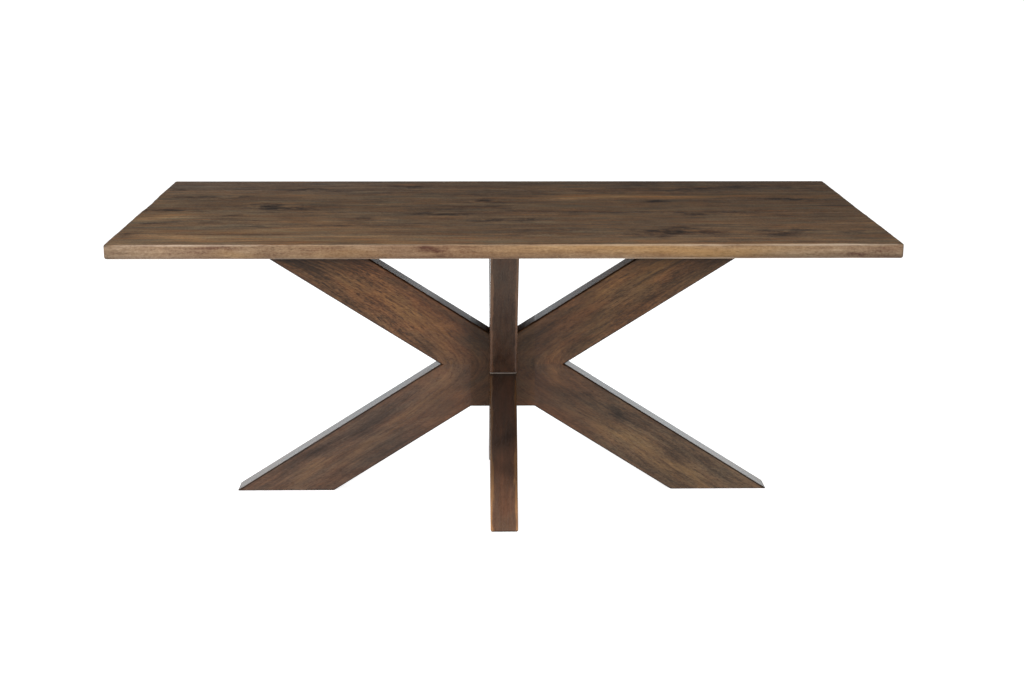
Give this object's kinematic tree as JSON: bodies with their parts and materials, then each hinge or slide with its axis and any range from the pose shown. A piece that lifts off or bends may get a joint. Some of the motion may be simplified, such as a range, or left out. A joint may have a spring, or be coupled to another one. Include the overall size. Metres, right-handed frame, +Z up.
{
  "type": "sawbuck table",
  "caption": "Rectangular plank-top dining table on a sawbuck base: crossed X frames along and across the table, mitred at mid height and joined at a central hub block.",
  "frame": {"origin": "centre of the table's outline, on the floor", "axes": "+X along the length of the table to the right end, +Y from the front to the rear, +Z up"},
  "size_m": [1.87, 0.935, 0.762],
  "materials": {
    "top_wood": "satin oil",
    "base_wood": "dark stain, semi-gloss",
    "hub_wood": "dark stain, semi-gloss",
    "joinery_wood": "raw",
    "plate_steel": "black powder coat",
    "fastener_steel": "zinc plated"
  },
  "bodies": {
    "root": {"top_board_1": "top_wood", "top_board_2": "top_wood", "top_board_3": "top_wood", "top_board_4": "top_wood", "top_board_5": "top_wood", "top_board_6": "top_wood", "left_upper_arm": "base_wood", "right_upper_arm": "base_wood", "front_upper_arm": "base_wood", "rear_upper_arm": "base_wood", "left_lower_leg": "base_wood", "right_lower_leg": "base_wood", "front_lower_leg": "base_wood", "rear_lower_leg": "base_wood", "hub_block": "hub_wood", "top_splines": "joinery_wood", "mitre_tenons": "joinery_wood", "hub_dowels": "joinery_wood", "through_dowels": "joinery_wood", "left_plate": "plate_steel", "right_plate": "plate_steel", "front_plate": "plate_steel", "rear_plate": "plate_steel", "plate_screws": "fastener_steel", "top_bolts": "fastener_steel", "bolt_washers": "fastener_steel", "threaded_inserts": "fastener_steel"}
  },
  "joints": []
}
